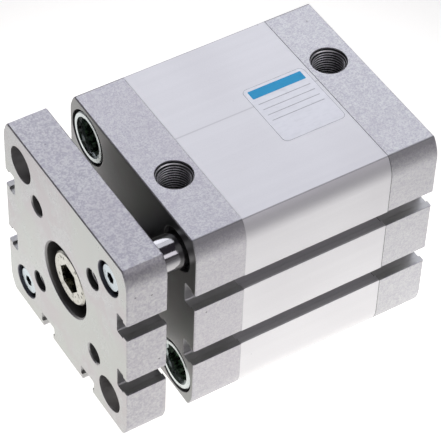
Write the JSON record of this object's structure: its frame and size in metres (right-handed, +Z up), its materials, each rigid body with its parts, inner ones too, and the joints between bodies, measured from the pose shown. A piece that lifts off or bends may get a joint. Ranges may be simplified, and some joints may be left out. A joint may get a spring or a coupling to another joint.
{
  "type": "guided pneumatic cylinder",
  "caption": "Square compact pneumatic cylinder with slotted body, two guide rods, yoke plate and air ports on top; the plate slides out with the rods.",
  "frame": {"origin": "centre of the rear mounting face, on the cylinder's axis", "axes": "+X along the piston rod, outward to the yoke plate; +Z up, the side of the air ports"},
  "size_m": [0.0953, 0.0654, 0.0654],
  "materials": {
    "barrel_aluminium": "smooth clear-anodised extrusion",
    "cap_aluminium": "blasted and anodised",
    "plate_aluminium": "blasted and anodised, front face milled",
    "piston_aluminium": "turned",
    "rod_steel": "ground and polished",
    "plated_steel": "zinc-plated",
    "seal_rubber": "matt black",
    "bush_bronze": "sintered",
    "magnet_compound": "plastic-bonded magnet",
    "guide_band_plastic": "plain",
    "buffer_elastomer": "cast elastomer"
  },
  "bodies": {
    "housing": {"barrel": "barrel_aluminium", "bearing_cap": "cap_aluminium", "end_cap": "cap_aluminium", "bearing_cap_seal": "seal_rubber", "end_cap_seal": "seal_rubber", "rod_bush": "bush_bronze", "rod_seal": "seal_rubber", "guide_bush_upper": "bush_bronze", "guide_bush_lower": "bush_bronze", "guide_wiper_upper": "seal_rubber", "guide_wiper_lower": "seal_rubber", "bearing_cap_screws": "plated_steel", "end_cap_screws": "plated_steel"},
    "carriage": {"yoke_plate": "plate_aluminium", "piston_rod": "rod_steel", "piston_front_half": "piston_aluminium", "piston_rear_half": "piston_aluminium", "piston_magnet": "magnet_compound", "piston_guide_band": "guide_band_plastic", "piston_front_seal": "seal_rubber", "piston_rear_seal": "seal_rubber", "front_buffer": "buffer_elastomer", "rear_buffer": "buffer_elastomer", "rod_o_ring": "seal_rubber", "piston_nut": "plated_steel", "guide_rod_upper": "rod_steel", "guide_rod_lower": "rod_steel", "yoke_screw": "plated_steel", "guide_rod_screws": "plated_steel"}
  },
  "joints": [
    {"name": "stroke", "type": "slide", "parent": "housing", "child": "carriage", "axis": [1, 0, 0], "range_m": [0, 0.03]}
  ]
}
